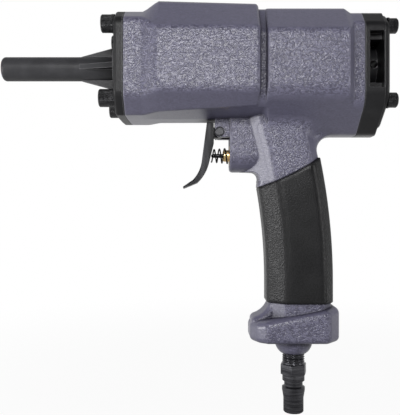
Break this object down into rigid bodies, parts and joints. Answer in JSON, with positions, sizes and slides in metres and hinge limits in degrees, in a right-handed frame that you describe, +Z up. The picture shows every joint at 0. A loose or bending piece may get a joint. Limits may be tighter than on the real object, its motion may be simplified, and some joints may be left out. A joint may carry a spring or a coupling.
{
  "type": "pneumatic nail puller",
  "caption": "Hand held air tool that punches nails back out of wood: ribbed nose tube, hammertone pistol housing, lever trigger, rubber grip and quick-connect air plug.",
  "frame": {"origin": "centre of the nose mouth, on the axis of the bore", "axes": "+X along the bore from the nose mouth to the rear cover; +Z up, with handle and air plug hanging along -Z; +Y to the tool's right side, away from the viewer of the picture"},
  "size_m": [0.2264, 0.066, 0.2368],
  "materials": {
    "hammertone": "glossy grey hammertone paint on an aluminium casting",
    "black_casting": "satin black paint, lighter where edges are worn",
    "black_cover": "satin black coating on an aluminium casting",
    "black_screw_steel": "black oxide",
    "grip_rubber": "matte, fine grain",
    "lever_steel": "dark grey, lengthwise streaks",
    "pin_steel": "satin",
    "spring_steel": "dark oiled wire",
    "brass": "turned, bright",
    "plug_steel": "dark plated",
    "bright_steel": "ground",
    "machined_aluminium": "turned",
    "seal_rubber": "matte",
    "disc_plastic": "matte, pale",
    "sieve_bronze": "sintered, rough"
  },
  "bodies": {
    "housing": {"housing": "hammertone", "air_plug": "plug_steel", "cylinder_head": "machined_aluminium", "cylinder_liner": "bright_steel", "driver_guide_bush": "bright_steel", "front_bumper": "seal_rubber", "grip_sleeve": "grip_rubber", "inlet_filter": "sieve_bronze", "liner_o_rings": "seal_rubber", "nose_cover": "black_casting", "nose_gasket": "seal_rubber", "nose_screws": "black_screw_steel", "nose_spring_washers": "black_screw_steel", "piston_return_spring": "spring_steel", "rear_bumper": "seal_rubber", "rear_cover": "black_cover", "rear_gasket": "seal_rubber", "rear_screws": "black_screw_steel", "rear_spring_washers": "black_screw_steel", "trigger_pin": "pin_steel", "trigger_pin_clip": "pin_steel", "trigger_spring": "spring_steel", "valve_bush": "brass", "valve_bush_o_rings": "seal_rubber", "valve_spring": "spring_steel"},
    "piston": {"piston": "machined_aluminium", "piston_seals": "seal_rubber", "driver_rod": "bright_steel", "driver_nut": "bright_steel"},
    "trigger": {"trigger_lever": "lever_steel"},
    "valve_stem": {"valve_stem": "bright_steel", "poppet_seal": "seal_rubber"},
    "exhaust_disc": {"exhaust_disc": "disc_plastic"}
  },
  "joints": [
    {"name": "piston_slide", "type": "slide", "parent": "housing", "child": "piston", "axis": [-1, 0, 0], "range_m": [0, 0.07], "stiffness_N_per_m": 150, "springref_m": -0.03, "deforming": ["piston_return_spring"]},
    {"name": "trigger_hinge", "type": "hinge", "parent": "housing", "child": "trigger", "pos_m": [0.1273, 0, -0.0378], "axis": [0, -1, 0], "range_deg": [0, 15], "stiffness_Nm_per_rad": 0.3, "springref_deg": -20.05, "deforming": ["trigger_spring"]},
    {"name": "valve_slide", "type": "slide", "parent": "housing", "child": "valve_stem", "axis": [1, 0, 0], "range_m": [0, 0.00355], "deforming": ["valve_spring"]},
    {"name": "exhaust_slide", "type": "slide", "parent": "housing", "child": "exhaust_disc", "axis": [1, 0, 0], "range_m": [0, 0.0015]}
  ],
  "couplings": [
    {"joint": "valve_slide", "follows": "trigger_hinge", "m_per_rad": 0.01356}
  ]
}
